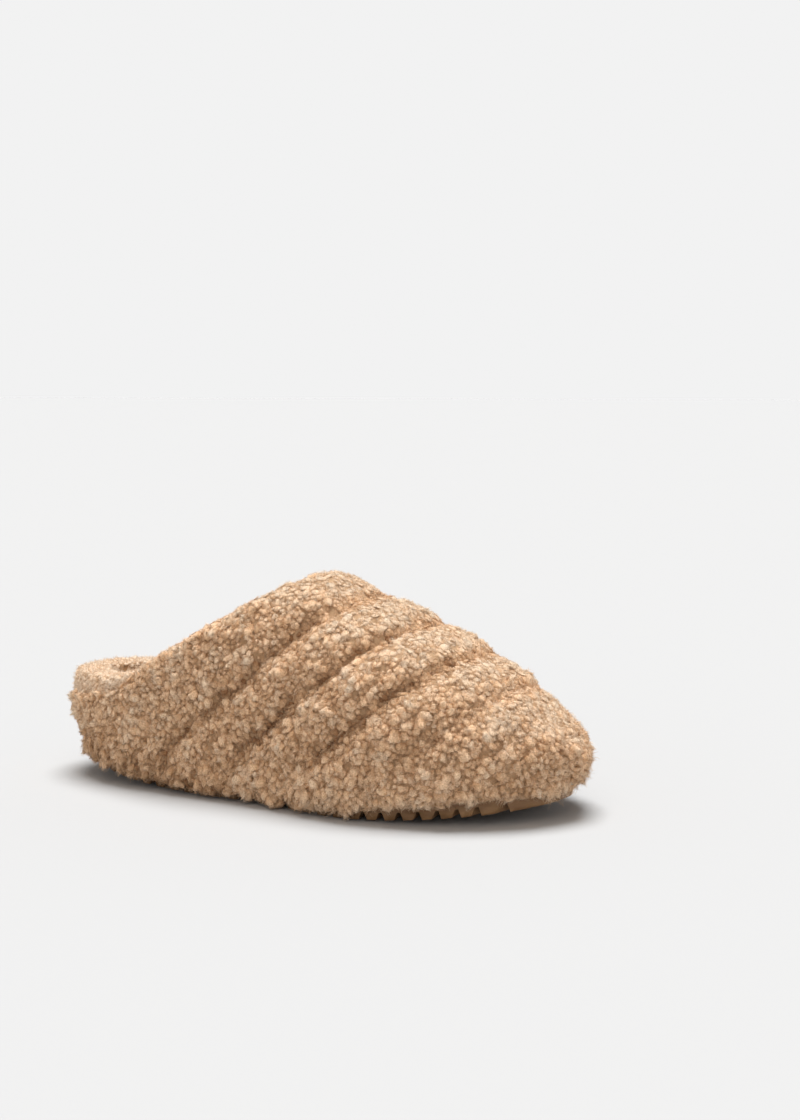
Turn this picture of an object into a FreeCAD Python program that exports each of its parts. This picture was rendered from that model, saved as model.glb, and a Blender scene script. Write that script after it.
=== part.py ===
"""Fluffy house slipper, right foot: a closed-toe mule of quilted curly fleece on a gum-rubber sole.

The row's frame: +X to the toe, +Y to the inner (big-toe) side, +Z up, the floor at z = 0 and the
origin on the floor under the middle of the slipper. Millimetres throughout.

The soft upper is a nest of closed envelopes. Each envelope is the slipper's outer form drawn in by
its own inset, so the space between two of them is one layer: fleece, wadding, stiffener or lining.
Sloping seam planes cut the layers into the strips that are sewn together.
"""
import FreeCAD, Part
import Sketcher
import math
import os
from FreeCAD import Placement, Rotation, Vector

DIMENSIONS = [
    # The outer form, measured over the tips of the pile.
    ("half_length", 138.0),
    ("heel_half_width", 45.5),
    ("waist_half_width", 48.0),
    ("ball_half_width", 58.5),
    ("toe_half_width", 53.0),
    ("instep_height", 103.0),
    ("toe_height", 42.0),
    ("belly_height", 22.0),
    ("toe_swing", 4.0),
    # The foot opening: a slope down from the instep, then level round the heel.
    ("opening_front_x", 3.0),
    ("opening_heel_x", -84.0),
    ("heel_wall_height", 50.0),
    ("opening_corner_radius", 70.0),
    ("turned_edge_depth", 7.0),
    ("heel_band_front_x", -60.0),
    ("heel_band_drop", 12.0),
    # Seams between the fleece strips.
    ("seam_first_x", -82.0),
    ("seam_pitch", 40.0),
    ("seam_slope", 1.2),
    ("seam_gap", 1.4),
    ("stitch_length", 3.2),
    ("stitch_pitch", 5.0),
    ("thread_radius", 0.45),
    # Layers of the upper, from the outside in.
    ("pile_length", 8.0),
    ("wadding_thickness", 4.4),
    ("stiffener_thickness", 1.0),
    ("lining_thickness", 2.6),
    ("layer_gap", 0.2),
    # The hem of the fleece, which lifts towards the toe and the heel with the sole.
    ("hem_height", 7.0),
    ("hem_heel_height", 10.0),
    ("hem_heel_x", -105.0),
    ("hem_back_x", -60.0),
    ("hem_front_x", 35.0),
    ("hem_toe_x", 105.0),
    ("hem_toe_height", 12.5),
    # Where the stiffeners end and the two pieces of lining meet.
    ("toe_puff_back_x", 84.0),
    ("toe_puff_top", 44.0),
    ("heel_counter_front_x", -72.0),
    ("heel_counter_top", 36.0),
    ("lining_seam_x", -66.0),
    # The sole, from the floor up.
    ("outsole_thickness", 15.0),
    ("midsole_thickness", 3.0),
    ("board_thickness", 2.0),
    ("foam_thickness", 5.0),
    ("sock_thickness", 4.0),
    ("lug_depth", 3.4),
    ("lug_groove_width", 3.4),
    ("lug_pitch", 8.6),
    ("lug_zigzag", 7.0),
    ("tread_end_margin", 26.0),
    ("outsole_tip_inset", 13.5),
    ("rocker_toe_start_x", 25.0),
    ("rocker_toe_rise", 11.5),
    ("rocker_heel_start_x", -45.0),
    ("rocker_heel_rise", 11.0),
]

STATION_COUNT = 21        # sections along each envelope
SECTION_POINTS = 24       # poles round each section
END_FULLNESS = 4.5        # exponent that rounds the toe and heel in plan
ROOF_FULLNESS = 2.25      # exponent of the arch over the foot
BELLY_FULLNESS = 3.2      # exponent of the fleece's tuck under towards the sole
WALL_FULLNESS = 8.0       # exponent of the upright inner walls beside the sole
LUG_ZIGZAG_LEGS = 4       # straight legs of each tread groove across the sole
SIDE_REACH = 90.0         # half width of the cutters, wider than the slipper
SEAM_COUNT = 4            # seams across the vamp
STITCH_LIFT = 0.7         # height of a stitch's middle above the wadding

doc = FreeCAD.newDocument("slipper")
sheet = doc.addObject("Spreadsheet::Sheet", "Dimensions")
for row, (alias, value) in enumerate(DIMENSIONS, start=1):
    sheet.set("A%d" % row, alias)
    sheet.set("B%d" % row, str(value))
    sheet.setAlias("B%d" % row, alias)
doc.recompute()


def size(alias):
    """The number in the sheet under this alias."""
    return float(sheet.get(alias))


def cell(*aliases):
    """An expression that adds up cells of the sheet."""
    return " + ".join("Dimensions." + alias for alias in aliases)


# ---------------------------------------------------------------- the slipper's form

def eased(x, stops):
    """Value at x of a curve that runs level through each (x, value) stop."""
    if x <= stops[0][0]:
        return stops[0][1]
    for (x0, v0), (x1, v1) in zip(stops, stops[1:]):
        if x <= x1:
            blend = 0.5 - 0.5 * math.cos(math.pi * (x - x0) / (x1 - x0))
            return v0 + (v1 - v0) * blend
    return stops[-1][1]


def plan_half_width(x):
    """Half width of the outer form before its ends are rounded."""
    return eased(x, [
        (-85.0, size("heel_half_width")),
        (-20.0, size("waist_half_width")),
        (48.0, size("ball_half_width")),
        (115.0, size("toe_half_width")),
    ])


def roof_height(x):
    """Height of the ridge over the foot before its ends are rounded."""
    forward = max(0.0, x) / size("half_length")
    return size("instep_height") - (size("instep_height") - size("toe_height")) * forward ** 1.35


def centre_line(x):
    """Sideways swing of the toe towards the inner side."""
    forward = max(0.0, (x + 20.0) / (size("half_length") + 20.0))
    return size("toe_swing") * forward ** 2


def end_rounding(x, inset):
    """1 along the middle of an envelope, falling to 0 at its toe and heel."""
    share = abs(x) / (size("half_length") - inset)
    return math.sqrt(max(0.0, 1.0 - share ** END_FULLNESS))


def envelope_stations(inset):
    """X positions of the sections, close together where the ends curve in."""
    reach = math.radians(86.5)
    steps = [2.0 * index / (STATION_COUNT - 1) - 1.0 for index in range(STATION_COUNT)]
    return [(size("half_length") - inset) * math.sin(reach * step) for step in steps]


def section_poles(x, inset, rounded_belly):
    """Poles round the form at x: an arch above the belly line, a tuck or upright wall below it."""
    rounding = end_rounding(x, inset)
    belly = size("belly_height")
    width = (plan_half_width(x) - inset) * rounding
    rise = (roof_height(x) - inset - belly) * rounding ** (0.7 if rounded_belly else 0.35)
    drop = (belly + 4.0) * rounding ** 0.7 if rounded_belly else belly + 4.0
    tuck = BELLY_FULLNESS if rounded_belly else WALL_FULLNESS
    poles = []
    for index in range(SECTION_POINTS):
        angle = 2.0 * math.pi * index / SECTION_POINTS
        above = math.sin(angle) >= 0.0
        fullness = ROOF_FULLNESS if above else tuck
        across = math.copysign(abs(math.cos(angle)) ** (2.0 / fullness), math.cos(angle))
        upward = math.copysign(abs(math.sin(angle)) ** (2.0 / fullness), math.sin(angle))
        reach = rise if above else drop
        poles.append(Vector(x, centre_line(x) + width * across, belly + reach * upward))
    return poles


def envelope(inset, rounded_belly=False):
    """The slipper's form drawn in by inset: a smooth tube of sections, capped at toe and heel."""
    poles = [section_poles(x, inset, rounded_belly) for x in envelope_stations(inset)]
    spans = STATION_COUNT - 3
    skin = Part.BSplineSurface()
    skin.buildFromPolesMultsKnots(
        poles,
        [4] + [1] * (spans - 1) + [4], [1] * (SECTION_POINTS + 1),
        list(range(spans + 1)), list(range(SECTION_POINTS + 1)),
        False, True, 3, 3)
    caps = [Part.Face(Part.Wire(skin.uIso(end).toShape())) for end in (0, spans)]
    shell = Part.makeShell([skin.toShape()] + caps)
    shell.sewShape()
    return Part.Solid(shell.Shells[0])


def footprint_side(inset, tip_inset, side):
    """One long side of the plan outline, from heel to toe; side is -1 or 1.

    The outline is drawn in by inset along its sides and by tip_inset at the toe and heel.
    """
    points = []
    for x in envelope_stations(tip_inset):
        width = (plan_half_width(x) - inset) * end_rounding(x, tip_inset)
        points.append(Vector(x, centre_line(x) + side * width, 0.0))
    return points


# ---------------------------------------------------------------- cutters seen from the side

def side_prism(wire):
    """A side-view outline in the XZ plane, carried right across the slipper."""
    face = Part.Face(wire)
    face.translate(Vector(0.0, -SIDE_REACH, 0.0))
    return face.extrude(Vector(0.0, 2.0 * SIDE_REACH, 0.0))


def side_polygon(*corners):
    """A closed outline in the XZ plane from (x, z) corners."""
    points = [Vector(x, 0.0, z) for x, z in corners]
    return Part.makePolygon(points + points[:1])


def tangent_arc(before, corner, after, radius):
    """The arc of this radius that rounds off a corner between two straight lines."""
    incoming = (before - corner).normalize()
    outgoing = (after - corner).normalize()
    half_angle = incoming.getAngle(outgoing) / 2.0
    run = radius / math.tan(half_angle)
    bisector = (incoming + outgoing).normalize()
    middle = corner + bisector * (radius / math.sin(half_angle) - radius)
    return Part.Arc(corner + incoming * run, middle, corner + outgoing * run).toShape()


def opening_cutter(depth=0.0):
    """Everything above the topline, which slopes from the instep, then runs level round the heel.

    A depth moves the topline down, to reach the lower side of the edge that is turned over.
    """
    slope = (size("instep_height") - size("heel_wall_height")) / (
        size("opening_front_x") - size("opening_heel_x"))
    top = size("instep_height") + 30.0
    front = Vector(size("opening_front_x") + 30.0 / slope, 0.0, top)
    corner = Vector(size("opening_heel_x"), 0.0, size("heel_wall_height"))
    heel = Vector(-size("half_length") - 20.0, 0.0, size("heel_wall_height"))
    arc = tangent_arc(front, corner, heel, size("opening_corner_radius"))
    ends = [arc.Vertexes[0].Point, arc.Vertexes[-1].Point]
    roof = Vector(heel.x, 0.0, top)
    edges = [
        Part.makeLine(front, ends[0]),
        arc,
        Part.makeLine(ends[1], heel),
        Part.makeLine(heel, roof),
        Part.makeLine(roof, front),
    ]
    cutter = side_prism(Part.Wire(edges))
    cutter.translate(Vector(0.0, 0.0, -depth))
    return cutter


def heel_band_zone():
    """The wedge round the top of the heel that the turned-over band takes. It dies out forwards."""
    back = -size("half_length") - 20.0
    high = size("heel_wall_height") + 20.0
    low = size("heel_wall_height") - size("heel_band_drop")
    middle = 0.5 * (size("opening_heel_x") - size("half_length")) + 18.0
    front = size("heel_band_front_x")
    return side_prism(side_polygon((back, low), (-size("half_length"), low), (middle, low + 5.0),
                                   (front, high - 4.0), (front, high), (back, high)))


def seam_x(index, z):
    """X of a seam plane at height z. Seam 0 is the one behind the first vamp strip."""
    return size("seam_first_x") + index * size("seam_pitch") + size("seam_slope") * z


def strip_zone(index, gap):
    """The slab between two seam planes, less half a gap at each. Strip 0 is the collar."""
    low, high = -10.0, size("instep_height") + 20.0
    lean = math.sqrt(1.0 + size("seam_slope") ** 2)
    margin = 0.5 * gap * lean
    far = 3.0 * size("half_length")
    back = [-far, -far] if index == 0 else [seam_x(index - 1, z) + margin for z in (low, high)]
    front = [far, far] if index == SEAM_COUNT else [seam_x(index, z) - margin for z in (low, high)]
    return side_prism(side_polygon((back[0], low), (front[0], low), (front[1], high), (back[1], high)))


def above(z):
    """Everything higher than z."""
    reach = 2.0 * size("half_length")
    return Part.makeBox(2.0 * reach, 2.0 * SIDE_REACH, reach, Vector(-reach, -SIDE_REACH, z))


def above_hem():
    """Everything over the hem of the fleece."""
    far, top = 2.0 * size("half_length"), 2.0 * size("instep_height")
    return side_prism(side_polygon(
        (-far, size("hem_heel_height")), (size("hem_heel_x"), size("hem_heel_height")),
        (size("hem_back_x"), size("hem_height")), (size("hem_front_x"), size("hem_height")),
        (size("hem_toe_x"), size("hem_toe_height")), (far, size("hem_toe_height")),
        (far, top), (-far, top)))


# ---------------------------------------------------------------- document objects

def add_part(name, shape):
    """A sub-part whose shape comes from the layer functions."""
    feature = doc.addObject("Part::Feature", name)
    feature.Label = name
    feature.Shape = shape
    feature.Placement = Placement(Vector(0.0, 0.0, 0.0), Rotation())
    return feature


def origin_plane(body, role):
    """One of a body's own base planes."""
    return next(item for item in body.Origin.OriginFeatures if item.Role == role)


def plan_sketch(body, name, inset, tip_inset):
    """A sketch on the body's XY plane: a curve down each side, joined across the tips."""
    sketch = body.newObject("Sketcher::SketchObject", name)
    sketch.AttachmentSupport = [(origin_plane(body, "XY_Plane"), "")]
    sketch.MapMode = "FlatFace"
    outer = footprint_side(inset, tip_inset, -1.0)
    inner = footprint_side(inset, tip_inset, 1.0)
    for points in (outer, inner):
        side = Part.BSplineCurve()
        side.interpolate(Points=points)
        sketch.addGeometry(side, False)
    sketch.addGeometry(Part.LineSegment(outer[-1], inner[-1]), False)
    sketch.addGeometry(Part.LineSegment(outer[0], inner[0]), False)
    for side in (0, 1):
        sketch.addConstraint(Sketcher.Constraint("Coincident", side, 2, 2, side + 1))
        sketch.addConstraint(Sketcher.Constraint("Coincident", side, 1, 3, side + 1))
    return sketch


def sole_layer(name, inset, tip_inset, thickness, levels_below):
    """A flat layer of the sole: its footprint padded by its thickness, on top of those below it."""
    body = doc.addObject("PartDesign::Body", name)
    body.Label = name
    pad = body.newObject("PartDesign::Pad", name + "_pad")
    pad.Profile = plan_sketch(body, name + "_outline", inset, tip_inset)
    pad.setExpression("Length", cell(thickness))
    if levels_below:
        body.setExpression(".Placement.Base.z", cell(*levels_below))
    body.Tip = pad
    return body


def closed_polyline(sketch, points):
    """Straight lines round a closed outline, joined end to end."""
    count = len(points)
    first = len(sketch.Geometry)
    for index in range(count):
        sketch.addGeometry(Part.LineSegment(points[index], points[(index + 1) % count]), False)
    for index in range(count):
        sketch.addConstraint(Sketcher.Constraint(
            "Coincident", first + index, 2, first + (index + 1) % count, 1))


def tread_groove_outline(x):
    """Zigzag band across the sole at x: the mouth of one tread groove."""
    reach = size("ball_half_width") + 6.0
    half = 0.5 * size("lug_groove_width")
    spine = []
    for index in range(LUG_ZIGZAG_LEGS + 1):
        swing = 0.5 * size("lug_zigzag") * (-1.0) ** index
        spine.append((x + swing, -reach + 2.0 * reach * index / LUG_ZIGZAG_LEGS))
    back = [Vector(px - half, py, 0.0) for px, py in spine]
    front = [Vector(px + half, py, 0.0) for px, py in spine]
    return back + front[::-1]


def rocker_ends():
    """Where each end of the sole starts to lift, how far out its curve runs and how high it gets."""
    reach = size("half_length") + 5.0
    return {"toe": (size("rocker_toe_start_x"), reach, size("rocker_toe_rise")),
            "heel": (size("rocker_heel_start_x"), -reach, size("rocker_heel_rise"))}


def rocker_height(x):
    """How far the tread is off the floor at x."""
    for start, end, rise in rocker_ends().values():
        share = (x - start) / (end - start)
        if share > 0.0:
            return rise * share ** 2
    return 0.0


def cut_rocker(body, name, start, end, rise):
    """Lift one end of the sole: everything under a long arc is cut away."""
    sketch = body.newObject("Sketcher::SketchObject", name + "_rocker_outline")
    sketch.AttachmentSupport = [(origin_plane(body, "XZ_Plane"), "")]
    sketch.MapMode = "FlatFace"
    foot, tip = Vector(start, 0.0, 0.0), Vector(end, rise, 0.0)
    under_tip, under_foot = Vector(end, -5.0, 0.0), Vector(start, -5.0, 0.0)
    middle = Vector((start + end) / 2.0, rise * 0.25, 0.0)
    sketch.addGeometry(Part.Arc(foot, middle, tip), False)
    sketch.addGeometry(Part.LineSegment(tip, under_tip), False)
    sketch.addGeometry(Part.LineSegment(under_tip, under_foot), False)
    sketch.addGeometry(Part.LineSegment(under_foot, foot), False)
    cut = body.newObject("PartDesign::Pocket", name + "_rocker")
    cut.Profile = sketch
    cut.Type = 1
    cut.Midplane = True
    body.Tip = cut
    doc.recompute()


def cut_tread_groove(body, number, x):
    """One zigzag groove across the tread, as deep over the lifted ends as in the middle."""
    sketch = body.newObject("Sketcher::SketchObject", "groove_outline_%d" % number)
    sketch.AttachmentSupport = [(origin_plane(body, "XY_Plane"), "")]
    sketch.MapMode = "FlatFace"
    closed_polyline(sketch, tread_groove_outline(x))
    groove = body.newObject("PartDesign::Pocket", "groove_%d" % number)
    groove.Profile = sketch
    groove.Reversed = True
    groove.setExpression("Length", "%s + %.3f" % (cell("lug_depth"), rocker_height(x)))
    body.Tip = groove


def make_outsole(inset):
    """Gum-rubber outsole: a thick footprint on a gentle rocker, with a zigzag tread."""
    body = sole_layer("outsole", inset, size("outsole_tip_inset"), "outsole_thickness", [])
    for name, (start, end, rise) in rocker_ends().items():
        cut_rocker(body, name, start, end, rise)
    each_way = int((size("half_length") - size("tread_end_margin")) / size("lug_pitch"))
    for number in range(-each_way, each_way + 1):
        cut_tread_groove(body, number + each_way + 1, number * size("lug_pitch"))
    return body


# ---------------------------------------------------------------- the upper

def stitch_row(index, surface):
    """Short lengths of thread along a seam, lying just off the surface under the pile."""
    normal = Vector(1.0, 0.0, -size("seam_slope")).normalize()
    distance = Vector(seam_x(index, 0.0), 0.0, 0.0).dot(normal)
    loop = max(surface.slice(normal, distance), key=lambda wire: wire.Length)
    centre = loop.CenterOfMass
    stitches = []
    count = int(loop.Length / size("stitch_pitch"))
    points = loop.discretize(Number=2 * count + 1)
    lowest = size("outsole_thickness") + size("midsole_thickness") + 2.0
    for start, end in zip(points[0:-1:2], points[1::2]):
        middle = (start + end) * 0.5
        if middle.z < lowest:
            continue
        along = (end - start).normalize()
        outward = (middle - centre)
        outward = (outward - along * outward.dot(along)).normalize()
        base = middle + outward * STITCH_LIFT - along * 0.5 * size("stitch_length")
        stitches.append(Part.makeCylinder(size("thread_radius"), size("stitch_length"), base, along))
    return Part.makeCompound(stitches)


def stiffener_zone(back, front, top, margin):
    """Side-view block that holds a stiffener, from the last margin up to its top edge."""
    bottom = size("outsole_thickness") + size("midsole_thickness")
    low, high = bottom - margin, top + margin
    return side_prism(side_polygon((back - margin, low), (front + margin, low),
                                   (front + margin, high), (back - margin, high)))


def toe_puff_zone(margin=0.0):
    """Where the toe puff lies, with a margin round it."""
    return stiffener_zone(size("toe_puff_back_x"), size("half_length"), size("toe_puff_top"), margin)


def heel_counter_zone(margin=0.0):
    """Where the heel counter lies, with a margin round it."""
    return stiffener_zone(-size("half_length"), size("heel_counter_front_x"),
                          size("heel_counter_top"), margin)


def make_stiffeners(outer_inset, inner_inset):
    """Thin shells that keep the toe and the heel in shape, between the wadding and the lining."""
    skin = envelope(outer_inset).cut(envelope(inner_inset))
    add_part("toe_puff", skin.common(toe_puff_zone()))
    add_part("heel_counter", skin.common(heel_counter_zone()))


def make_strips(name, layer, gap):
    """Cut a layer along the seam planes: the collar first, then the vamp strips to the toe."""
    add_part("collar_" + name, layer.common(strip_zone(0, gap)))
    for index in range(1, SEAM_COUNT + 1):
        add_part("vamp_%s_%d" % (name, index), layer.common(strip_zone(index, gap)))


def make_lining(lining):
    """Two pieces of lining, which meet at a seam on each side of the foot."""
    half_gap = 0.5 * size("layer_gap")
    seam = size("lining_seam_x")
    far = 2.0 * size("half_length")
    top = size("instep_height")
    front = side_polygon((seam + half_gap, 0.0), (far, 0.0), (far, top), (seam + half_gap, top))
    back = side_polygon((-far, 0.0), (seam - half_gap, 0.0), (seam - half_gap, top), (-far, top))
    add_part("vamp_lining", lining.common(side_prism(front)))
    add_part("heel_lining", lining.common(side_prism(back)))


def make_upper():
    """All the layers of the upper, from the outside in."""
    gap = size("layer_gap")
    wadding_out = size("pile_length") + gap
    wadding_in = size("pile_length") + size("wadding_thickness")
    stiffener_out = wadding_in - size("stiffener_thickness")
    lining_out = wadding_in + gap
    lining_in = lining_out + size("lining_thickness")
    last_top = size("outsole_thickness") + size("midsole_thickness")

    outer_form = envelope(0.0, rounded_belly=True)
    cavity_form = envelope(lining_in)
    opening = opening_cutter()
    turned_edge = opening_cutter(size("turned_edge_depth"))
    band_zone = heel_band_zone()
    clear_zone = turned_edge.fuse(band_zone)

    backing = envelope(size("pile_length")).cut(turned_edge)
    fleece = outer_form.cut(backing.fuse(cavity_form)).cut(opening).cut(band_zone)
    make_strips("fleece", fleece.common(above_hem()), size("seam_gap"))

    wadding_form = envelope(wadding_out)
    pocket_form = envelope(stiffener_out - gap)
    pockets = pocket_form.common(toe_puff_zone(gap)).fuse(pocket_form.common(heel_counter_zone(gap)))
    wadding = wadding_form.cut(envelope(wadding_in)).cut(clear_zone).cut(pockets)
    make_strips("wadding", wadding.common(above(last_top)), gap)

    make_stiffeners(stiffener_out, wadding_in)
    lining = envelope(lining_out).cut(cavity_form).cut(clear_zone)
    make_lining(lining.common(above(last_top)))
    add_part("heel_band", outer_form.cut(cavity_form).cut(opening).common(band_zone))
    for index in range(SEAM_COUNT):
        add_part("seam_thread_%d" % (index + 1), stitch_row(index, wadding_form))


def make_sole():
    """The flat layers under the foot, from the floor up."""
    under_upper = size("pile_length") + 0.5
    inside_lining = (size("pile_length") + size("wadding_thickness") + size("layer_gap")
                     + size("lining_thickness") + 0.3)
    make_outsole(under_upper)
    levels = ["outsole_thickness"]
    for name, thickness, inset in (
            ("midsole", "midsole_thickness", under_upper),
            ("insole_board", "board_thickness", inside_lining),
            ("footbed_foam", "foam_thickness", inside_lining),
            ("sock_lining", "sock_thickness", inside_lining)):
        sole_layer(name, inset, inset, thickness, levels)
        levels = levels + [thickness]


def sub_parts():
    """Every object of the document that is a piece of the slipper."""
    return [item for item in doc.Objects
            if item.TypeId == "PartDesign::Body"
            or (item.TypeId == "Part::Feature" and not item.InListRecursive)]


def check_document():
    """Stop if any feature failed or any sub-part isn't a sound solid."""
    for item in doc.Objects:
        if "Invalid" in item.State or "Error" in item.State:
            raise RuntimeError("%s failed: %s" % (item.Name, item.State))
    for item in sub_parts():
        if item.Shape.isNull() or not item.Shape.isValid() or not item.Shape.Solids:
            raise RuntimeError("%s has no sound shape" % item.Label)


def write_parts():
    """One STEP file for each sub-part."""
    os.makedirs("parts", exist_ok=True)
    for item in sub_parts():
        item.Shape.exportStep("parts/%s.step" % item.Label)
        box = item.Shape.BoundBox
        print("%-18s %8.1f cm3  %3d solids  z %.1f to %.1f" % (
            item.Label, item.Shape.Volume / 1000.0, len(item.Shape.Solids), box.ZMin, box.ZMax))


make_sole()
make_upper()
doc.recompute()
check_document()
write_parts()
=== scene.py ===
"""Looks of the fluffy house slipper: quilted curly fleece over a gum-rubber sole. Metres."""

import math

import bmesh
import bpy
import numpy as np
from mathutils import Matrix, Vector
from mathutils.kdtree import KDTree


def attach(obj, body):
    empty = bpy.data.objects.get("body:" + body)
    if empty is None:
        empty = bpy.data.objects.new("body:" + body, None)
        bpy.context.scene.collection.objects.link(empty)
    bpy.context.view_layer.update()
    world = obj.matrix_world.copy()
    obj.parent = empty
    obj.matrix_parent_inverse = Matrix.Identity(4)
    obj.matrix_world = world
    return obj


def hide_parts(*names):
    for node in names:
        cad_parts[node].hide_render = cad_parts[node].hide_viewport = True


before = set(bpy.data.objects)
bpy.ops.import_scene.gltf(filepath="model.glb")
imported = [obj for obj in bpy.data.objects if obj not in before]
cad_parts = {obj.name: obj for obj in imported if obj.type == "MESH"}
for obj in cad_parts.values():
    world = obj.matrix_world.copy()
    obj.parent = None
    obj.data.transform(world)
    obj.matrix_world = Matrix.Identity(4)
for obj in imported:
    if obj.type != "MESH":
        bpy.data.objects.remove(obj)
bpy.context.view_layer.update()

MM = 0.001
SEED = 20261

# The form as the CAD states it.
SEAM_FIRST = -82.0 * MM     # seam planes between strips: x = SEAM_FIRST + k * SEAM_PITCH + SEAM_SLOPE * z
SEAM_PITCH = 40.0 * MM
SEAM_SLOPE = 1.2
SEAM_COUNT = 4
TOPLINE_HEEL = 50.0 * MM    # height of the opening's edge round the heel
TOPLINE_BEND = (-104.0 * MM, -67.0 * MM)    # where the edge turns from level to its slope
TOPLINE_SLOPE = 53.0 / 87.0
ROCKER_ENDS = ((25.0 * MM, 143.0 * MM, 11.5 * MM), (-45.0 * MM, -143.0 * MM, 11.0 * MM))
LUG_PITCH = 8.6 * MM
LUG_DEPTH = 3.4 * MM
LUG_ZIGZAG = 7.0 * MM
LUG_ZIGZAG_LEG = 32.2 * MM  # width of the sole that one leg of a groove's zigzag crosses
SPINE_REACH = 88.0 * MM     # the inner line that "outward" is measured from runs this far each way
SPINE_HEIGHT = 26.0 * MM
FLEECE_NODES = ["collar_fleece"] + ["vamp_fleece_%d" % (index + 1) for index in range(SEAM_COUNT)]


# ------------------------------------------------------------------ numbers

def unit(vectors):
    """Rows scaled to length 1."""
    return vectors / np.maximum(np.linalg.norm(vectors, axis=-1, keepdims=True), 1e-12)


def dot(first, second):
    """Row by row dot products."""
    return (first * second).sum(axis=-1)


def smooth_step(low, high, values):
    """0 below low, 1 above high and a smooth ramp between them."""
    share = np.clip((values - low) / (high - low), 0.0, 1.0)
    return share * share * (3.0 - 2.0 * share)


def wave_noise(points, wavelength, seed):
    """Smooth noise of about -1 to 1: plane waves of one wavelength in random directions."""
    rng = np.random.default_rng(seed)
    directions = unit(rng.normal(size=(14, 3)))
    phases = rng.uniform(0.0, 2.0 * math.pi, 14)
    waves = np.cos(points @ directions.T * (2.0 * math.pi / wavelength) + phases)
    return waves.sum(axis=1) / math.sqrt(14.0)


def repeat(values, times):
    """Each row repeated in place."""
    return np.repeat(values, times, axis=0)


# ------------------------------------------------------------------ the slipper's form

def outward_of(points):
    """Unit directions from the slipper's inner spine to the points."""
    spine = np.zeros_like(points)
    spine[:, 0] = np.clip(points[:, 0], -SPINE_REACH, SPINE_REACH)
    spine[:, 2] = SPINE_HEIGHT
    return unit(points - spine)


def seam_distance(points):
    """Distance from each point to the nearest seam plane between two strips."""
    along = points[:, 0] - SEAM_SLOPE * points[:, 2]
    seams = SEAM_FIRST + SEAM_PITCH * np.arange(SEAM_COUNT)
    return np.abs(along[:, None] - seams).min(axis=1) / math.sqrt(1.0 + SEAM_SLOPE ** 2)


def seam_pull(points):
    """The step that would carry each point on to the middle of its nearest seam."""
    along = points[:, 0] - SEAM_SLOPE * points[:, 2]
    nearest = np.clip(np.rint((along - SEAM_FIRST) / SEAM_PITCH), 0, SEAM_COUNT - 1)
    step = (SEAM_FIRST + SEAM_PITCH * nearest - along) / (1.0 + SEAM_SLOPE ** 2)
    return step[:, None] * np.array([1.0, 0.0, -SEAM_SLOPE])


def seam_strength(points):
    """How clearly the seams show: fully on the sides and crown, hardly at the foot, less at the toe."""
    fade = smooth_step(10.0 * MM, 36.0 * MM, points[:, 2])
    toe = smooth_step(0.0, 22.0 * MM, points[:, 0] - SEAM_SLOPE * points[:, 2])
    return (0.12 + 0.88 * fade) * (1.0 - 0.45 * toe)


def under_topline(points):
    """How far the points lie under the opening's edge."""
    back, front = TOPLINE_BEND
    bend = np.clip(points[:, 0] - back, 0.0, front - back) ** 2 / (2.0 * (front - back))
    edge = TOPLINE_HEEL + TOPLINE_SLOPE * (bend + np.maximum(points[:, 0] - front, 0.0))
    return (edge - points[:, 2]) / np.where(points[:, 0] > front, math.hypot(1.0, TOPLINE_SLOPE), 1.0)


def rocker_height(x):
    """How far the sole's tread is off the floor at x."""
    height = np.zeros_like(x)
    for start, end, rise in ROCKER_ENDS:
        height += rise * np.maximum((x - start) / (end - start), 0.0) ** 2
    return height


# ------------------------------------------------------------------ meshes

def points_of(mesh):
    """The mesh's vertices as an array."""
    flat = np.empty(len(mesh.vertices) * 3)
    mesh.vertices.foreach_get("co", flat)
    return flat.reshape(-1, 3)


def normals_of(mesh):
    """The mesh's vertex normals as an array."""
    flat = np.empty(len(mesh.vertices) * 3)
    mesh.vertices.foreach_get("normal", flat)
    return flat.reshape(-1, 3)


def set_points(mesh, points):
    """Moves the mesh's vertices."""
    mesh.vertices.foreach_set("co", points.ravel())
    mesh.update()


def add_object(name, mesh):
    """A mesh object in the scene."""
    piece = bpy.data.objects.new(name, mesh)
    bpy.context.scene.collection.objects.link(piece)
    return piece


def apply_modifiers(piece):
    """Bakes a piece's modifiers into its mesh."""
    graph = bpy.context.evaluated_depsgraph_get()
    mesh = bpy.data.meshes.new_from_object(piece.evaluated_get(graph))
    old = piece.data
    piece.modifiers.clear()
    piece.data = mesh
    bpy.data.meshes.remove(old)


def copy_of_node(name, node):
    """A new piece with a CAD node's shape, its faces joined up."""
    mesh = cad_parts[node].data.copy()
    mesh.materials.clear()
    work = bmesh.new()
    work.from_mesh(mesh)
    bmesh.ops.remove_doubles(work, verts=work.verts, dist=0.02 * MM)
    work.to_mesh(mesh)
    work.free()
    return add_object(name, mesh)


def even_copy(name, node, voxel):
    """A new piece with a CAD node's shape, remeshed to an even grid."""
    piece = copy_of_node(name, node)
    remesh = piece.modifiers.new("even_grid", "REMESH")
    remesh.mode = "VOXEL"
    remesh.voxel_size = voxel
    apply_modifiers(piece)
    return piece


def mesh_from_quads(name, points, quads, material):
    """A smooth mesh from arrays of points and quads."""
    mesh = bpy.data.meshes.new(name)
    mesh.vertices.add(len(points))
    mesh.vertices.foreach_set("co", points.astype(np.float32).ravel())
    mesh.loops.add(quads.size)
    mesh.loops.foreach_set("vertex_index", quads.astype(np.int32).ravel())
    mesh.polygons.add(len(quads))
    mesh.polygons.foreach_set("loop_start", np.arange(0, quads.size, 4, dtype=np.int32))
    mesh.update(calc_edges=True)
    mesh.shade_smooth()
    mesh.materials.append(material)
    return mesh


# ------------------------------------------------------------------ materials

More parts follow.
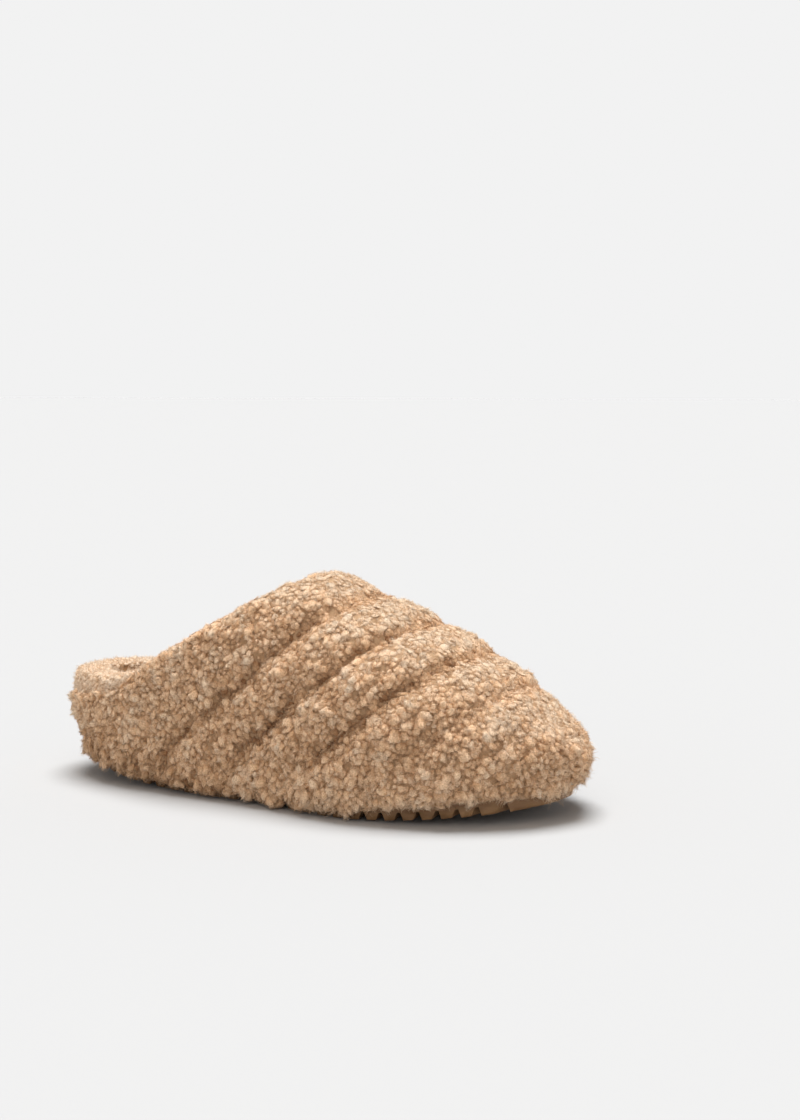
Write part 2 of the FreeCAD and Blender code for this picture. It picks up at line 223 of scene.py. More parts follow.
def new_material(name, color, roughness, specular=0.2, sheen=0.0):
    """A Principled material, its shader node and its node tree."""
    material = bpy.data.materials.new(name)
    material.use_nodes = True
    material.diffuse_color = (*color, 1.0)
    shader = material.node_tree.nodes["Principled BSDF"]
    shader.inputs["Base Color"].default_value = (*color, 1.0)
    shader.inputs["Roughness"].default_value = roughness
    shader.inputs["Specular IOR Level"].default_value = specular
    shader.inputs["Sheen Weight"].default_value = sheen
    shader.inputs["Sheen Roughness"].default_value = 0.45
    shader.inputs["Sheen Tint"].default_value = (1.0, 0.88, 0.74, 1.0)
    return material, shader, material.node_tree


def noise_node(tree, scale, detail, stretch=(1.0, 1.0, 1.0)):
    """Noise over the object's own coordinates, which stretch can squeeze along an axis."""
    place = tree.nodes.new("ShaderNodeTexCoord")
    mapping = tree.nodes.new("ShaderNodeMapping")
    mapping.inputs["Scale"].default_value = stretch
    noise = tree.nodes.new("ShaderNodeTexNoise")
    noise.inputs["Scale"].default_value = scale
    noise.inputs["Detail"].default_value = detail
    tree.links.new(place.outputs["Object"], mapping.inputs["Vector"])
    tree.links.new(mapping.outputs["Vector"], noise.inputs["Vector"])
    return noise


def ramp_node(tree, source, stops):
    """A colour ramp fed by source, with (position, colour) stops."""
    ramp = tree.nodes.new("ShaderNodeValToRGB")
    elements = ramp.color_ramp.elements
    while len(elements) < len(stops):
        elements.new(0.5)
    for element, (position, color) in zip(elements, stops):
        element.position = position
        element.color = (*color, 1.0)
    tree.links.new(source, ramp.inputs["Fac"])
    return ramp


def multiply_node(tree, first, second):
    """The product of two colours, as a socket."""
    mix = tree.nodes.new("ShaderNodeMix")
    mix.data_type = "RGBA"
    mix.blend_type = "MULTIPLY"
    mix.inputs["Factor"].default_value = 1.0
    tree.links.new(first, mix.inputs["A"])
    tree.links.new(second, mix.inputs["B"])
    return mix.outputs["Result"]


def mottle(tree, shader, dark, light, scale, stretch=(1.0, 1.0, 1.0)):
    """Drives the base colour with noise between two colours."""
    noise = noise_node(tree, scale, 6.0, stretch)
    ramp = ramp_node(tree, noise.outputs["Fac"], [(0.34, dark), (0.68, light)])
    tree.links.new(ramp.outputs["Color"], shader.inputs["Base Color"])


def vary_roughness(tree, shader, low, high, scale):
    """Drives the roughness with noise."""
    noise = noise_node(tree, scale, 3.0)
    spread = tree.nodes.new("ShaderNodeMapRange")
    spread.inputs["To Min"].default_value = low
    spread.inputs["To Max"].default_value = high
    tree.links.new(noise.outputs["Fac"], spread.inputs["Value"])
    tree.links.new(spread.outputs["Result"], shader.inputs["Roughness"])


def grain(tree, shader, scale, distance, stretch=(1.0, 1.0, 1.0)):
    """Fine bump from noise."""
    noise = noise_node(tree, scale, 4.0, stretch)
    bump = tree.nodes.new("ShaderNodeBump")
    bump.inputs["Strength"].default_value = 0.5
    bump.inputs["Distance"].default_value = distance
    tree.links.new(noise.outputs["Fac"], bump.inputs["Height"])
    tree.links.new(bump.outputs["Normal"], shader.inputs["Normal"])


def gum_rubber():
    """Matte gum rubber: blotchy brown with faint lines from the mould along its sides."""
    material, shader, tree = new_material("gum_rubber", (0.20, 0.10, 0.045), 0.55, 0.35)
    mottle(tree, shader, (0.19, 0.098, 0.042), (0.30, 0.165, 0.074), 70.0, (1.0, 1.0, 4.0))
    vary_roughness(tree, shader, 0.42, 0.68, 180.0)
    grain(tree, shader, 500.0, 0.25 * MM, (0.4, 0.4, 3.0))
    return material


def plain_stuff(name, dark, light, scale, roughness, bump=0.3 * MM, sheen=0.0):
    """A hidden layer's material: mottled, with a rough or grainy surface."""
    material, shader, tree = new_material(name, light, roughness, 0.2, sheen)
    mottle(tree, shader, dark, light, scale)
    vary_roughness(tree, shader, roughness - 0.08, min(roughness + 0.08, 1.0), scale * 2.0)
    grain(tree, shader, scale * 4.0, bump)
    return material


PILE_UV = "OFBake"          # u runs from a lock's root to its tip, v is the lock's own tone with painted light and shade: paler on the crown, darker in the seam valleys and low at the heel


def wool(name, root, middle, tip):
    """Wool that pales from root to tip, its darker root partly painted shade, each lock in its own tone
    with painted light and shade.
    """
    material, shader, tree = new_material(name, middle, 0.8, 0.15, 0.3)
    place = tree.nodes.new("ShaderNodeUVMap")
    place.uv_map = PILE_UV
    split = tree.nodes.new("ShaderNodeSeparateXYZ")
    tree.links.new(place.outputs["UV"], split.inputs["Vector"])
    # Darker at the root: partly the wool's own paler tips, partly painted shade down among the locks.
    length = ramp_node(tree, split.outputs["X"], [(0.10, root), (0.50, middle), (0.95, tip)])
    # Over v: the dark low end is painted shade for the seam valleys and the heel's foot, the pale cool high
    # end is painted light for the crown, and between them lies the locks' random tone.
    tone_and_painted_light_ramp = ramp_node(tree, split.outputs["Y"],
                      [(0.0, (0.34, 0.22, 0.14)), (0.3, (0.76, 0.64, 0.53)), (0.55, (0.95, 0.87, 0.79)),
                       (1.0, (0.91, 0.95, 1.00))])
    flecks = ramp_node(tree, noise_node(tree, 1500.0, 3.0).outputs["Fac"],
                       [(0.36, (0.72, 0.66, 0.60)), (0.60, (1.06, 1.06, 1.06))])
    tinted = multiply_node(tree, length.outputs["Color"], tone_and_painted_light_ramp.outputs["Color"])
    flecked = multiply_node(tree, tinted, flecks.outputs["Color"])
    tree.links.new(flecked, shader.inputs["Base Color"])
    grain(tree, shader, 1800.0, 0.18 * MM)
    rough = ramp_node(tree, split.outputs["X"], [(0.0, (0.95, 0.95, 0.95)), (1.0, (0.72, 0.72, 0.72))])
    tree.links.new(rough.outputs["Color"], shader.inputs["Roughness"])
    return material


# ------------------------------------------------------------------ padded strips

MIDDLE_ROOM = 0.2 * MM      # how far a pad's outer face lies under its CAD face, midway between seams
SEAM_ROOM = 7.0 * MM        # the same along a seam
ROLL_REACH = 12.8 * MM      # half a strip's width, over which the face curves from seam to middle
COLLAR_LIFT = 2.0 * MM      # how far the pads stand up again at the opening
COLLAR_REACH = 24.0 * MM    # how far from the opening that lift runs out
RIM_ROOM = 1.0 * MM         # how far the very edge of the opening is drawn in
CREASE_PULL = 3.0           # how strongly the faces beside a seam are drawn together over it
LEAST_PAD = 1.2 * MM        # thickness that is always left
TOE_ROOM = 3.5 * MM         # how far the toe is drawn in all round
TOE_TUCK = 4.5 * MM         # how far the foot of the toe is drawn in under it
HEEL_TUCK = 8.0 * MM        # the same at the heel
SWELL_CAP = 2.0 * MM        # how far the cloth may swell
SWELL_MOMENTS = 20          # frames that the cloth simulation runs for
HEM_SPOTS = np.array([-110.0, -40.0, 20.0, 75.0, 120.0]) * MM
HEM_SHIFTS = np.array([0.5, -3.0, -3.5, 0.0, 1.5]) * MM    # how the pads' foot hangs at those spots


def nearest_distances(targets, points):
    """Distance from each point to the nearest of the targets."""
    tree = KDTree(len(targets))
    for index, target in enumerate(targets):
        tree.insert(target, index)
    tree.balance()
    return np.array([tree.find(point)[2] for point in points])


def shrink_pad(piece):
    """Draws the outer face in, to leave room for the pile, and further in along the seams."""
    points = points_of(piece.data)
    out = outward_of(points)
    facing = dot(normals_of(piece.data), out)
    to_skin = nearest_distances(points[facing > 0.6], points)
    to_core = nearest_distances(points[facing < -0.6], points)
    thickness = to_skin + to_core
    to_seam = seam_distance(points)
    arch = np.sqrt(1.0 - (1.0 - np.minimum(to_seam / ROLL_REACH, 1.0)) ** 2)
    arch = 1.0 - (1.0 - arch) * seam_strength(points)
    near_opening = 1.0 - smooth_step(0.0, COLLAR_REACH, under_topline(points))
    room = SEAM_ROOM + (MIDDLE_ROOM - SEAM_ROOM) * arch - COLLAR_LIFT * near_opening
    depth = np.minimum(room, np.maximum(thickness - LEAST_PAD, 0.0))
    moved = points - out * (depth * to_core / np.maximum(thickness, 1e-9))[:, None]
    moved += seam_pull(points) * (CREASE_PULL * (1.0 - smooth_step(0.0, 4.0 * MM, to_seam)))[:, None]
    ends = smooth_step(92.0 * MM, 135.0 * MM, np.abs(points[:, 0]))
    low = 1.0 - smooth_step(10.0 * MM, 38.0 * MM, points[:, 2])
    moved[:, 0] += np.where(points[:, 0] < 0.0, HEEL_TUCK, -TOE_TUCK) * ends * low
    toe = smooth_step(75.0 * MM, 125.0 * MM, points[:, 0])
    moved[:, :2] -= unit(out[:, :2]) * (TOE_ROOM * toe)[:, None]
    foot = 1.0 - smooth_step(10.0 * MM, 26.0 * MM, points[:, 2])
    moved[:, 2] += np.interp(points[:, 0], HEM_SPOTS, HEM_SHIFTS) * foot
    rim = 1.0 - smooth_step(0.0, 9.0 * MM, under_topline(points))
    moved += np.array([0.52, 0.0, -0.85]) * (RIM_ROOM * rim)[:, None]
    set_points(piece.data, moved)


def swell_pads(pads):
    """Cloth simulation: the wadding's pressure swells the pads between their stitched edges."""
    starts = []
    for piece in pads:
        points = points_of(piece.data)
        starts.append(points)
        facing = dot(normals_of(piece.data), outward_of(points))
        stitched = (seam_distance(points) < 2.5 * MM) | (facing < 0.15)
        held = piece.vertex_groups.new(name="held")
        held.add([int(index) for index in np.nonzero(stitched)[0]], 1.0, "REPLACE")
        cloth = piece.modifiers.new("swell", "CLOTH")
        cloth.settings.quality = 5
        cloth.settings.mass = 0.002
        cloth.settings.use_pressure = True
        cloth.settings.uniform_pressure_force = 4.0
        cloth.settings.vertex_group_mass = "held"
        cloth.settings.effector_weights.gravity = 0.0
        cloth.point_cache.frame_start = 1
        cloth.point_cache.frame_end = SWELL_MOMENTS
    scene = bpy.context.scene
    for moment in range(1, SWELL_MOMENTS + 1):
        scene.frame_set(moment)
    graph = bpy.context.evaluated_depsgraph_get()
    swollen = [points_of(piece.evaluated_get(graph).data) for piece in pads]
    for piece, start, end in zip(pads, starts, swollen):
        move = end - start
        length = np.linalg.norm(move, axis=1, keepdims=True)
        move *= np.minimum(1.0, SWELL_CAP / np.maximum(length, 1e-9))
        piece.modifiers.clear()
        set_points(piece.data, start + move)
    scene.frame_set(1)


def finish_pad(piece, material):
    """Lumps of wadding under the skin, one smooth subdivision and the backing's material."""
    points = points_of(piece.data)
    out = outward_of(points)
    skin = np.clip(dot(normals_of(piece.data), out) * 1.5, 0.0, 1.0)
    lumps = 0.45 * MM * wave_noise(points, 17.0 * MM, 3) + 0.45 * MM * wave_noise(points, 8.0 * MM, 5)
    set_points(piece.data, points + out * (skin * lumps)[:, None])
    piece.modifiers.new("soft", "SUBSURF").levels = 1
    apply_modifiers(piece)
    piece.data.materials.append(material)
    piece.data.shade_smooth()


# ------------------------------------------------------------------ where the locks stand

def scatter(piece, spacing, rng, wanted):
    """Spots on a piece at least spacing apart, and their normals, where wanted(spots, normals) says so."""
    mesh = piece.data
    mesh.calc_loop_triangles()
    corners = np.empty(len(mesh.loop_triangles) * 3, np.int32)
    mesh.loop_triangles.foreach_get("vertices", corners)
    corners = corners.reshape(-1, 3)
    points, normals = points_of(mesh), normals_of(mesh)
    a, b, c = (points[corners[:, k]] for k in range(3))
    area = np.linalg.norm(np.cross(b - a, c - a), axis=1) / 2.0
    total = int(area.sum() / spacing ** 2 * 5.0)
    pick = rng.choice(len(corners), size=total, p=area / area.sum())
    u, v = rng.random(total), rng.random(total)
    flip = u + v > 1.0
    u[flip], v[flip] = 1.0 - u[flip], 1.0 - v[flip]
    weights = np.stack([1.0 - u - v, u, v], axis=1)[:, :, None]
    spots = (points[corners[pick]] * weights).sum(axis=1)
    facing = unit((normals[corners[pick]] * weights).sum(axis=1))
    kept = wanted(spots, facing)
    spots, facing = spots[kept], facing[kept]
    chosen = spread_out(spots, spacing)
    return spots[chosen], facing[chosen]


def spread_out(spots, spacing):
    """Indices of spots that keep at least spacing between them, first come first served."""
    cells = {}
    keys = np.floor(spots / spacing).astype(int).tolist()
    places = spots.tolist()
    steps = [(i, j, k) for i in (-1, 0, 1) for j in (-1, 0, 1) for k in (-1, 0, 1)]
    limit = spacing * spacing
    chosen = []
    for index, (i, j, k) in enumerate(keys):
        x, y, z = places[index]
        taken = [place for di, dj, dk in steps for place in cells.get((i + di, j + dj, k + dk), ())]
        if all((px - x) ** 2 + (py - y) ** 2 + (pz - z) ** 2 >= limit for px, py, pz in taken):
            cells.setdefault((i, j, k), []).append((x, y, z))
            chosen.append(index)
    return np.array(chosen, int)


# ------------------------------------------------------------------ wool locks

class Locks:
    """Wool locks: rounded, slightly hooked tufts that stand on roots along normals."""

    def __init__(self, roots, normals, rng, height, girth, hook, lean):
        count = len(roots)
        helper = unit(rng.normal(size=normals.shape))
        self.roots = roots
        self.normals = normals
        self.across = unit(np.cross(normals, helper))
        self.beside = np.cross(normals, self.across)
        self.phase = rng.uniform(0.0, 2.0 * math.pi, count)
        self.turn = rng.choice([-1.0, 1.0], count) * rng.uniform(2.0, 4.6, count)
        self.height = height
        self.girth = girth
        self.hook = hook
        self.lean = lean

    def skin(self, which, along, around, grow):
        """Points on the skin of locks: along runs 0 to 1 from root to tip, around is an angle.

        which is (n,), the others are (n, steps). grow above 1 lifts the points off the skin.
        """
        def column(values):
            return values[which][:, None]

        inside = np.clip(along, 0.0, 1.0)
        profile = np.sqrt(np.clip(1.0 - (1.62 * inside - 0.62) ** 2, 0.0, 1.0))
        reach = column(self.girth) * profile * grow
        turned = column(self.phase) + column(self.turn) * along
        bend = column(self.hook) * inside ** 0.8
        over_across = np.cos(around) * reach + np.cos(turned) * bend
        over_beside = np.sin(around) * reach + np.sin(turned) * bend
        rise = column(self.height) * (along + (grow - 1.0) * inside ** 3)
        return (self.roots[which][:, None, :]
                + self.normals[which][:, None, :] * rise[:, :, None]
                + self.lean[which][:, None, :] * (along ** 1.5)[:, :, None]
                + self.across[which][:, None, :] * over_across[:, :, None]
                + self.beside[which][:, None, :] * over_beside[:, :, None])


def lock_cores(locks, rows, sides, crumpled, rng):
    """The solid heart of each lock: closed rounded tubes.

    Returns points, quads, and for each point how far along its lock it is and which lock that is.
    """
    count = len(locks.roots)
    which = repeat(np.arange(count), sides)
    angle = np.tile(np.linspace(0.0, 2.0 * math.pi, sides, endpoint=False), count)
    along = np.tile(np.linspace(0.0, 1.0, rows), (count * sides, 1))
    crumple = CORE_SHARE + crumpled * rng.normal(size=along.shape)
    points = locks.skin(which, along, angle[:, None], np.clip(crumple, 0.5, 1.1))
    index = np.arange(count * sides * rows).reshape(count, sides, rows)
    there = np.roll(index, -1, axis=1)
    quads = np.stack([index[:, :, :-1], there[:, :, :-1], there[:, :, 1:], index[:, :, 1:]], axis=-1)
    return points.reshape(-1, 3), quads.reshape(-1, 4), along.reshape(-1), repeat(which, rows)


def lock_fibres(locks, per_lock, steps, width, softness, rng):
    """Flat fibres twisted round each lock, flaring off near the tip. Returns as lock_cores does."""
    which = repeat(np.arange(len(locks.roots)), per_lock)
    many = len(which)
    soft = softness[which][:, None]
    share = np.linspace(0.0, 1.0, steps)[None, :]
    start = rng.uniform(0.05, 0.45, (many, 1))
    finish = rng.uniform(0.78, 1.02, (many, 1)) + 0.12 * soft
    along = start + (finish - start) * share
    twist = rng.uniform(1.0, 3.6, (many, 1)) * np.sign(locks.turn[which])[:, None] * (1.0 - 0.4 * soft)
    angle = rng.uniform(0.0, 2.0 * math.pi, (many, 1)) + twist * along
    loose = rng.uniform(0.0, 1.0, (many, 1)) ** 3
    grow = 1.0 + 0.16 * rng.random((many, 1)) + loose * (0.20 + 0.45 * soft) * along ** 1.5
    paths = locks.skin(which, along, angle, grow)
    frizz = np.cumsum(rng.normal(size=(many, steps, 3)), axis=1)
    paths = paths + frizz * (0.04 + 0.07 * soft)[:, :, None] * MM
    tangent = unit(np.gradient(paths, axis=1))
    outward = unit(paths - locks.skin(which, along * 0.9, angle, 0.0))
    tilt = rng.normal(0.0, 0.3, (many, 1, 1))
    across = unit(np.cross(tangent, outward) + outward * tilt)
    spread = width * (1.0 - 0.65 * share ** 2) * rng.uniform(0.7, 1.25, (many, 1))
    offset = across * (spread * 0.5)[:, :, None]
    points = np.stack([paths - offset, paths + offset], axis=2)
    index = np.arange(many * steps * 2).reshape(many, steps, 2)
    quads = np.stack([index[:, :-1, 0], index[:, :-1, 1], index[:, 1:, 1], index[:, 1:, 0]], axis=-1)
    level = repeat(along.reshape(-1), 2)
    return points.reshape(-1, 3), quads.reshape(-1, 4), level, repeat(which, steps * 2)


def lock_fuzz(locks, per_lock, length, width, rng):
    """Short fine hairs that stand off each lock every way. Returns as lock_cores does."""
    which = repeat(np.arange(len(locks.roots)), per_lock)
    many = len(which)
    along = rng.uniform(0.15, 1.0, (many, 1)) ** 0.8
    angle = rng.uniform(0.0, 2.0 * math.pi, (many, 1))
    foot = locks.skin(which, along, angle, 0.92)[:, 0]
    heart = locks.skin(which, along * 0.8, angle, 0.0)[:, 0]
    way = unit(unit(foot - heart) + 0.75 * rng.normal(size=(many, 3)))
    bend = rng.normal(0.0, 0.35, (many, 3))
    reach = length * rng.uniform(0.5, 1.3, (many, 1))
    share = np.linspace(0.0, 1.0, 3)[None, :, None]
    paths = foot[:, None, :] + (way[:, None, :] * share + bend[:, None, :] * share ** 2) * reach[:, None, :]
    across = unit(np.cross(way, rng.normal(size=(many, 3))))
    offset = across[:, None, :] * (0.5 * width * (1.0 - 0.7 * share))
    points = np.stack([paths - offset, paths + offset], axis=2)
    index = np.arange(many * 6).reshape(many, 3, 2)
    quads = np.stack([index[:, :-1, 0], index[:, :-1, 1], index[:, 1:, 1], index[:, 1:, 0]], axis=-1)
    level = np.clip(0.75 * along + 0.3 * share[:, :, 0], 0.0, 1.0)
    return points.reshape(-1, 3), quads.reshape(-1, 4), repeat(level.reshape(-1), 2), repeat(which, 6)


class Pile:
    """How a pile is made: how far apart its locks stand, and their height and girth; how many fibres
    twist round a lock, in how many steps; how many hairs stand off it; how even the locks are."""

    def __init__(self, spacing, height, girth, fibres, steps, hairs, evenness=0.0):
        self.spacing = spacing
        self.height = height
        self.girth = girth
        self.fibres = fibres
        self.steps = steps
        self.hairs = hairs
        self.evenness = evenness


FIBRE_WIDTH = 0.20 * MM
HAIR_WIDTH = 0.15 * MM
HAIR_LENGTH = 1.1 * MM
CORE_ROWS = 6               # how finely a lock's solid heart is divided along it and round it
CORE_SIDES = 6
CORE_SHARE = 0.86           # how thick it is, next to the fibres
CORE_CRUMPLE = 0.13         # how far its surface is crumpled
SOAK = 0.25                 # how much of the cloth's own shading its pile takes on
FLOOR_ROOM = 0.2 * MM       # how far the lowest hairs stay off the floor
CURLY = Pile(1.80 * MM, 2.0 * MM, 1.36 * MM, 14, 5, 18)
BRUSHED = Pile(1.55 * MM, 1.0 * MM, 1.45 * MM, 5, 4, 24, 0.9)
LINING = Pile(2.3 * MM, 1.5 * MM, 2.2 * MM, 6, 4, 18, 0.6)


def droop_of(normals):
    """The part of straight down that lies along the surface."""
    down = np.tile([0.0, 0.0, -1.0], (len(normals), 1))
    return down - normals * dot(down, normals)[:, None]


def soften_shading(mesh, facing):
    """Turns the shading part of the way towards the cloth's own, as light does that soaks into wool."""
    blended = unit(normals_of(mesh) * (1.0 - SOAK) + facing * SOAK)
    mesh.normals_split_custom_set_from_vertices(blended)


def woolly_pile(name, style, roots, normals, rng, material):
    """A piece of pile standing on roots: curly locks, softer at the toe, on the crown and low down."""
    count = len(roots)
    x, z = roots[:, 0], roots[:, 2]
    low = 1.0 - smooth_step(9.0 * MM, 28.0 * MM, z)
    toe = smooth_step(85.0 * MM, 130.0 * MM, x)
    crown = smooth_step(0.35, 0.90, normals[:, 2]) * smooth_step(-90.0 * MM, 0.0, x)
    valley = seam_strength(roots) * (1.0 - smooth_step(0.5 * MM, 6.0 * MM, seam_distance(roots)))
    patches = wave_noise(roots, 24.0 * MM, 7)
    clump = wave_noise(roots, 8.0 * MM, 11) * (1.0 - 0.7 * style.evenness)
    softness = np.clip(0.45 * low + 0.6 * toe + 0.5 * crown + 0.2 * patches + style.evenness, 0.0, 1.0)

    spread = 0.28 * (1.0 - 0.6 * style.evenness)
    size = np.exp(rng.normal(0.0, spread, count)) * (1.0 + 0.12 * clump)
    size = np.clip(size, 0.65, 1.8) * (1.0 + 0.15 * low + 0.15 * crown)
    height = style.height * size ** 0.6 * (1.0 + 0.28 * clump) * (1.0 - 0.70 * crown) * (1.0 - 0.5 * valley)
    lean = droop_of(normals) * (0.45 + 0.8 * low)[:, None] * MM + rng.normal(size=(count, 3)) * 0.4 * MM
    locks = Locks(roots - normals * 0.7 * MM, normals, rng, height + 0.7 * MM, style.girth * size,
                  0.85 * MM * size * (1.0 - 0.7 * style.evenness), lean)

    cores = lock_cores(locks, CORE_ROWS, CORE_SIDES, CORE_CRUMPLE * (1.0 - 0.7 * style.evenness), rng)
    fibres = lock_fibres(locks, style.fibres, style.steps, FIBRE_WIDTH, softness, rng)
    fuzz = lock_fuzz(locks, style.hairs, HAIR_LENGTH, HAIR_WIDTH, rng)
    points = np.concatenate([cores[0], fibres[0], fuzz[0]])
    points[:, 2] = np.maximum(points[:, 2], FLOOR_ROOM)
    fuzz_start = len(cores[0]) + len(fibres[0])
    quads = np.concatenate([cores[1], fibres[1] + len(cores[0]), fuzz[1] + fuzz_start])
    level = np.concatenate([cores[2] * 0.8, fibres[2], fuzz[2]])
    lock = np.concatenate([cores[3], fibres[3], fuzz[3]])
    # Each lock's tone: random patches and lock-to-lock spread, plus painted light, paler on the up-facing
    # crown, and painted shade, darker in the seam valleys; the clump term is partly random tone, partly
    # painted shade on the lower clumps.
    tone_and_painted_light = 0.55 + 0.08 * patches + 0.14 * (1.0 - 0.5 * crown) * clump + 0.32 * crown - 0.45 * valley
    tone_and_painted_light += rng.normal(0.0, 0.08 * (1.0 - 0.8 * style.evenness), count) + 0.17 * style.evenness
    # Painted shade: darker low down round the heel, where it curves under.
    tone_and_painted_light -= 0.32 * low * (1.0 - smooth_step(-60.0 * MM, 0.0, x))

    mesh = mesh_from_quads(name, points, quads, material)
    soften_shading(mesh, normals[lock])
    corners = quads.ravel()
    across_map = np.clip(level, 0.01, 0.99)[corners]
    up_map = np.clip(tone_and_painted_light, 0.02, 0.98)[lock][corners]
    layer = mesh.uv_layers.new(name=PILE_UV)
    layer.data.foreach_set("uv", np.stack([across_map, up_map], axis=1).astype(np.float32).ravel())
    return add_object(name, mesh)


PILE_PARTS = (("right", -1.0, -40.0 * MM), ("upper_right", -40.0 * MM, -15.0 * MM),
              ("crown", -15.0 * MM, 15.0 * MM), ("upper_left", 15.0 * MM, 40.0 * MM),
              ("left", 40.0 * MM, 1.0))


def grow_pile(base, name, style, wanted, seed, material):
    """Pile all over the wanted faces of base, in one piece for each side and one for the crown."""
    rng = np.random.default_rng(seed)
    roots, normals = scatter(base, style.spacing, rng, wanted)
    for part, low, high in PILE_PARTS:
        here = (roots[:, 1] >= low) & (roots[:, 1] < high)
        if here.any():
            pile = woolly_pile(name + "_" + part, style, roots[here], normals[here], rng, material)
            pile.parent = base


# ------------------------------------------------------------------ the slipper's pieces

def outer_faces(spots, facing):
    """The fleece's outside, and its turned edge round the opening."""
    outside = dot(facing, outward_of(spots)) > 0.0
    turned = (under_topline(spots) < 11.0 * MM) & (facing[:, 2] > -0.7) & (seam_distance(spots) > 2.0 * MM)
    return outside | turned


def band_faces(spots, facing):
    """The heel band, but for the face it is sewn on by."""
    return (facing[:, 2] > -0.5) | (np.abs(dot(facing, outward_of(spots))) > 0.7)


def lining_faces(spots, facing):
    """The lining's face towards the foot, as far in as can be seen."""
    return (dot(facing, outward_of(spots)) < -0.3) & (spots[:, 0] < 30.0 * MM)


def sock_faces(spots, facing):
    """The top of the sock lining, as far in as can be seen."""
    return (facing[:, 2] > 0.6) & (spots[:, 0] < 60.0 * MM)


def make_strips(backing, curly):
    """The padded fleece strips and their curly pile."""
    pads = []
    for node in FLEECE_NODES:
        pad = even_copy(node.replace("_fleece", "_pad"), node, 2.2 * MM)
        shrink_pad(pad)
        pads.append(pad)
    swell_pads(pads)
    for index, (pad, node) in enumerate(zip(pads, FLEECE_NODES)):
        finish_pad(pad, backing)
        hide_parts(node)
        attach(pad, "root")
        grow_pile(pad, node.replace("_fleece", "_pile"), CURLY, outer_faces, SEED + index, curly)


def make_soft_piece(node, base, voxel, room, style, wanted, seed, backing, wool_material):
    """A short-piled piece in place of a CAD node: an even copy of it, thinner by room, and its pile."""
    piece = even_copy(base, node, voxel)
    set_points(piece.data, points_of(piece.data) - normals_of(piece.data) * room)
    piece.data.materials.append(backing)
    piece.data.shade_smooth()
    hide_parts(node)
    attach(piece, "root")
    grow_pile(piece, base.replace("_base", "_pile"), style, wanted, seed, wool_material)


def make_outsole(material):
    """The gum sole with its grooves opened out into V notches."""
    sole = copy_of_node("gum_outsole", "outsole")
    points = points_of(sole.data)
    x, y, z = points[:, 0], points[:, 1], points[:, 2]
    swing = LUG_ZIGZAG * (np.abs(y / LUG_ZIGZAG_LEG % 2.0 - 1.0) - 0.5)
    across = x - swing
    offset = across - LUG_PITCH * np.rint(across / LUG_PITCH)
    lift = z - rocker_height(x)
    near = np.abs(offset) < 2.2 * MM
    floor = near & (np.abs(lift - LUG_DEPTH) < 1.0 * MM)
    mouth = near & (lift < 0.6 * MM)
    points[floor, 0] -= 0.6 * offset[floor]
    points[mouth, 0] += 0.3 * offset[mouth]
    set_points(sole.data, points)
    sole.data.materials.append(material)
    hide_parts("outsole")
    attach(sole, "root")


def dress_hidden_nodes(backing):
    """Procedural materials for the layers that stay as the CAD made them."""
    foam = plain_stuff("eva_foam", (0.62, 0.55, 0.44), (0.74, 0.67, 0.56), 400.0, 0.8)
    board = plain_stuff("fibre_board", (0.34, 0.25, 0.16), (0.48, 0.37, 0.25), 220.0, 0.85)
    wadding = plain_stuff("wadding", (0.50, 0.33, 0.19), (0.62, 0.43, 0.27), 160.0, 0.9)
    shell = plain_stuff("stiffener", (0.55, 0.52, 0.47), (0.66, 0.63, 0.58), 300.0, 0.6)
    thread = plain_stuff("thread", (0.46, 0.32, 0.20), (0.62, 0.45, 0.30), 1500.0, 0.7)
    stuffs = {"midsole": foam, "footbed_foam": foam, "insole_board": board, "toe_puff": shell,
              "heel_counter": shell}
    for name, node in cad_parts.items():
        material = stuffs.get(name, backing)
        if "wadding" in name:
            material = wadding
        if "thread" in name:
            material = thread
        node.data.materials.clear()
        node.data.materials.append(material)


def make_slipper():
    """Every piece of the slipper."""
    backing = plain_stuff("fleece_backing", (0.36, 0.22, 0.12), (0.52, 0.34, 0.20), 260.0, 0.92,
                          0.8 * MM, 0.2)
    curly = wool("curly_wool", (0.74, 0.50, 0.31), (0.82, 0.60, 0.40), (0.90, 0.735, 0.56))
    pale = wool("pale_wool", (0.66, 0.44, 0.27), (0.83, 0.66, 0.49), (0.89, 0.785, 0.66))
    dress_hidden_nodes(backing)
    make_outsole(gum_rubber())
    make_strips(backing, curly)
    make_soft_piece("heel_band", "heel_band_base", 2.0 * MM, -0.4 * MM, BRUSHED, band_faces, SEED + 11,
                    backing, pale)
    for index, node in enumerate(("vamp_lining", "heel_lining")):
        make_soft_piece(node, node + "_base", 1.2 * MM, 0.3 * MM, LINING, lining_faces,
                        SEED + 21 + index, backing, pale)
    make_soft_piece("sock_lining", "sock_base", 1.5 * MM, 0.6 * MM, LINING, sock_faces, SEED + 31,
                    backing, pale)


# ------------------------------------------------------------------ studio

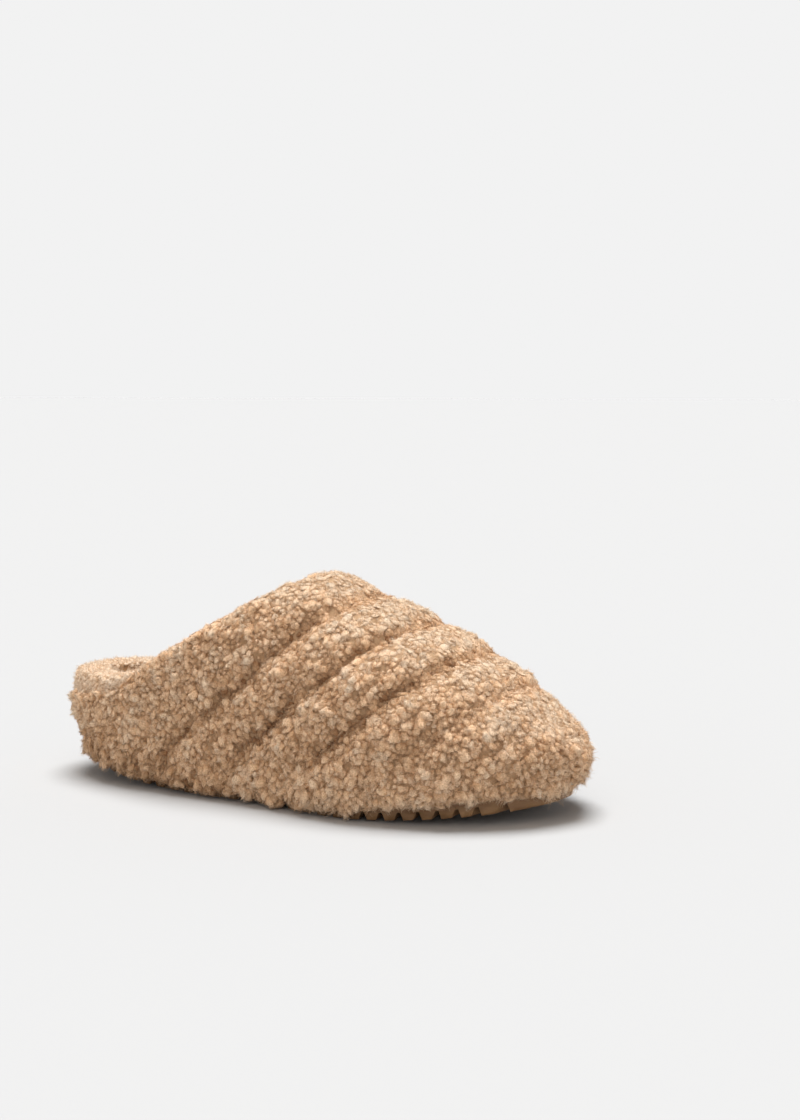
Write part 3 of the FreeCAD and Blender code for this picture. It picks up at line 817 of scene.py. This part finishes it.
def make_studio():
    """Pale floor, light all round that is strongest low down, and a soft key from above."""
    bpy.ops.mesh.primitive_plane_add(size=60.0, location=(0.0, 0.0, 0.0))
    floor = bpy.context.object
    floor.name = "floor"
    floor.data.materials.append(new_material("floor", (0.47, 0.47, 0.47), 0.9, 0.0)[0])

    world = bpy.data.worlds.new("studio")
    world.use_nodes = True
    tree = world.node_tree
    place = tree.nodes.new("ShaderNodeTexCoord")
    split = tree.nodes.new("ShaderNodeSeparateXYZ")
    tree.links.new(place.outputs["Generated"], split.inputs["Vector"])
    sky = ramp_node(tree, split.outputs["Z"], [(0.36, (0.887,) * 3), (0.62, (0.12,) * 3)])
    tree.links.new(sky.outputs["Color"], tree.nodes["Background"].inputs["Color"])
    bpy.context.scene.world = world

    add_sun("overhead_key", 4.5, 36.0, (0.10, -0.18, -1.0), (0.985, 1.0, 1.015))
    add_sun("front_fill", 0.75, 50.0, (-0.20, 0.55, -0.85), (1.0, 0.88, 0.76))


def add_sun(name, energy, width, direction, color):
    """A soft distant lamp: its strength, how many degrees wide it is and where its light goes."""
    data = bpy.data.lights.new(name, "SUN")
    data.energy = energy
    data.color = color
    data.angle = math.radians(width)
    lamp = bpy.data.objects.new(name, data)
    lamp.rotation_euler = Vector(direction).to_track_quat("-Z", "Y").to_euler()
    bpy.context.scene.collection.objects.link(lamp)


CAMERA_AZIMUTH = 32.0       # degrees round from the slipper's side, towards its toe
CAMERA_ELEVATION = 9.5      # degrees above the floor
CAMERA_DISTANCE = 0.9
CAMERA_LENS = 61.168        # mm, for a sensor 36 mm high
SLIPPER_MIDDLE = 40.0 * MM  # height of the point that the camera's place is measured from
AIM_RIGHT = 0.04204         # how far right of and above that point it aims, over its distance
AIM_UP = 0.07593


def make_camera():
    """A long lens near the floor, aimed so that the slipper lies low and left in the frame."""
    azimuth, elevation = math.radians(CAMERA_AZIMUTH), math.radians(CAMERA_ELEVATION)
    back = Vector((math.sin(azimuth) * math.cos(elevation), -math.cos(azimuth) * math.cos(elevation),
                   math.sin(elevation)))
    right = Vector((math.cos(azimuth), math.sin(azimuth), 0.0))
    up = back.cross(right)
    data = bpy.data.cameras.new("camera")
    data.sensor_width = 36.0
    data.lens = CAMERA_LENS
    camera = bpy.data.objects.new("camera", data)
    camera.location = Vector((0.0, 0.0, SLIPPER_MIDDLE)) + back * CAMERA_DISTANCE
    aim = -back + right * AIM_RIGHT + up * AIM_UP
    camera.rotation_euler = aim.to_track_quat("-Z", "Y").to_euler()
    bpy.context.scene.collection.objects.link(camera)
    bpy.context.scene.camera = camera


make_slipper()
make_studio()
make_camera()
bpy.context.scene.view_settings.view_transform = "Standard"
